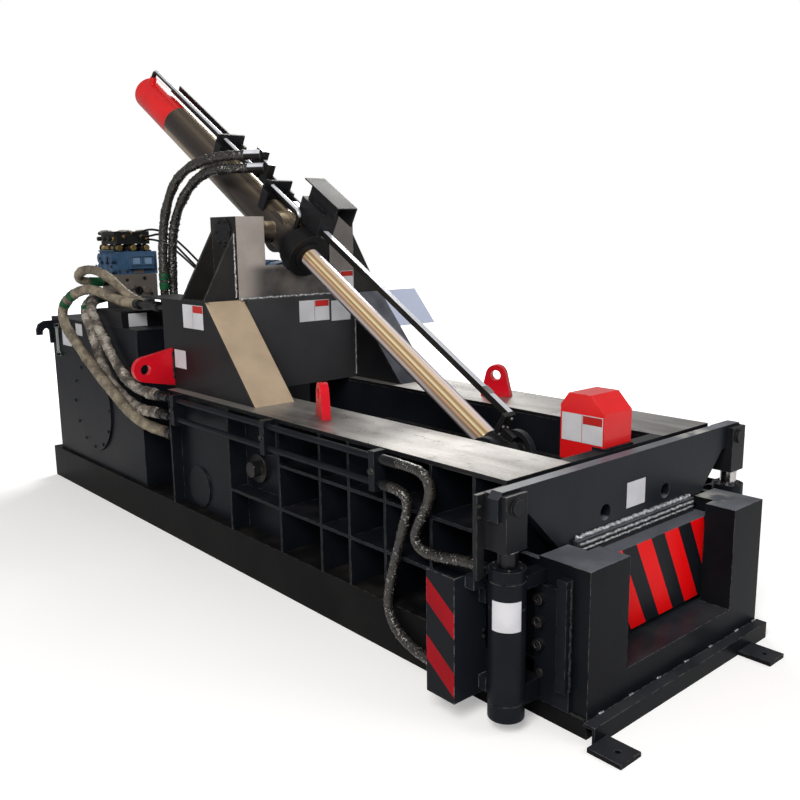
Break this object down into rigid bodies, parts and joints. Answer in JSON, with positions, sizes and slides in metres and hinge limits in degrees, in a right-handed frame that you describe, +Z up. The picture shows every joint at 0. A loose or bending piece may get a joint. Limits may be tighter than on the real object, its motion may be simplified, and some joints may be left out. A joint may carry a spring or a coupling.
{
  "type": "recycling baler",
  "caption": "Horizontal metal scrap baler with a hinged lid on an inclined cylinder, a lifting front gate and an oil tank behind.",
  "frame": {"origin": "on the floor, on the machine's centre plane, under the front face of the gate frame", "axes": "+X the way the bale leaves, the oil tank at the -X end; +Z up; -Y is the side with the oil pipes"},
  "size_m": [5.607, 2.013, 3.1986],
  "materials": {
    "charcoal_paint": "satin, dusty, worn at edges",
    "striped_paint": "gloss, red and black diagonal stripes",
    "worn_steel": "bright, scuffed by scrap",
    "tan_primer": "flat, thin, metal showing through",
    "barrel_paint": "satin bronze grey",
    "red_paint": "gloss",
    "hard_chrome": "polished",
    "bright_steel": "turned, lightly oiled",
    "brass": "dull",
    "valve_blue": "satin blue",
    "film_hose": "wrapped in clear and brown film",
    "black_hose": "semi-gloss, wrapped in film",
    "gauge_glass": "clear"
  },
  "bodies": {
    "root": {"anchor_feet": "charcoal_paint", "bearing_caps": "charcoal_paint", "chamber_floor": "charcoal_paint", "cross_beam": "charcoal_paint", "front_frame": "charcoal_paint", "front_wall": "charcoal_paint", "gate_cylinders": "charcoal_paint", "gate_guides": "charcoal_paint", "gate_hoses": "black_hose", "guards": "striped_paint", "guide_screws": "bright_steel", "hose_fittings": "bright_steel", "level_gauge": "gauge_glass", "lid_hinge_pins": "bright_steel", "lid_hoses": "black_hose", "lifting_lugs": "red_paint", "lock_bracket": "charcoal_paint", "lock_cover": "red_paint", "lock_cylinder": "charcoal_paint", "lock_guide": "charcoal_paint", "main_cylinder": "charcoal_paint", "main_valve": "valve_blue", "motor": "valve_blue", "oil_tank": "charcoal_paint", "pilot_hoses": "black_hose", "pilot_valves": "valve_blue", "pipe_clamps": "charcoal_paint", "pump": "valve_blue", "side_lugs": "red_paint", "side_pipes": "charcoal_paint", "side_wall_far": "charcoal_paint", "side_wall_near": "charcoal_paint", "skid_frame": "charcoal_paint", "slope_plates": "tan_primer", "spool_caps": "brass", "supply_hoses": "film_hose", "tank_cover": "charcoal_paint", "top_flanges": "worn_steel", "tower_box_far": "charcoal_paint", "tower_box_near": "charcoal_paint", "trunnion_yoke": "charcoal_paint", "valve_manifold": "valve_blue", "valve_stand": "charcoal_paint"},
    "lid": {"lid": "charcoal_paint"},
    "lid_cylinder": {"cylinder_barrel": "barrel_paint", "cylinder_cap": "red_paint", "cylinder_pipes": "charcoal_paint", "cylinder_brackets": "charcoal_paint", "sensor_head": "bright_steel"},
    "lid_rod": {"lid_rod": "hard_chrome", "rod_eye": "bright_steel", "guide_bar": "bright_steel"},
    "gate": {"gate": "charcoal_paint", "gate_beam": "charcoal_paint", "gate_forks": "charcoal_paint", "gate_rods": "hard_chrome"},
    "ram": {"ram_head": "charcoal_paint", "main_rod": "hard_chrome"},
    "lock": {"lock_bolt": "charcoal_paint"},
    "rotor": {"motor_rotor": "bright_steel"}
  },
  "joints": [
    {"name": "lid_hinge", "type": "hinge", "parent": "root", "child": "lid", "pos_m": [-2.352, 0, 0.636], "axis": [0, -1, 0], "range_deg": [0, 60]},
    {"name": "cylinder_tilt", "type": "hinge", "parent": "root", "child": "lid_cylinder", "pos_m": [-2.975, 0, 1.983], "axis": [0, -1, 0], "range_deg": [0, 25.5], "deforming": ["lid_hoses"]},
    {"name": "rod_extend", "type": "slide", "parent": "lid_cylinder", "child": "lid_rod", "axis": [0.8585, 0, -0.5128], "range_m": [-1.093, 0]},
    {"name": "gate_lift", "type": "slide", "parent": "root", "child": "gate", "axis": [0, 0, 1], "range_m": [0, 0.4]},
    {"name": "ram_slide", "type": "slide", "parent": "root", "child": "ram", "axis": [1, 0, 0], "range_m": [0, 2.055]},
    {"name": "lock_slide", "type": "slide", "parent": "root", "child": "lock", "axis": [-1, 0, 0], "range_m": [0, 0.06]},
    {"name": "motor_spin", "type": "hinge", "parent": "root", "child": "rotor", "pos_m": [-3.83, 0.33, 1.59], "axis": [1, 0, 0], "continuous": true}
  ],
  "couplings": [
    {"joint": "cylinder_tilt", "follows": "lid_hinge", "ratio": 0.42},
    {"joint": "rod_extend", "follows": "lid_hinge", "m_per_rad": -1.0428}
  ]
}
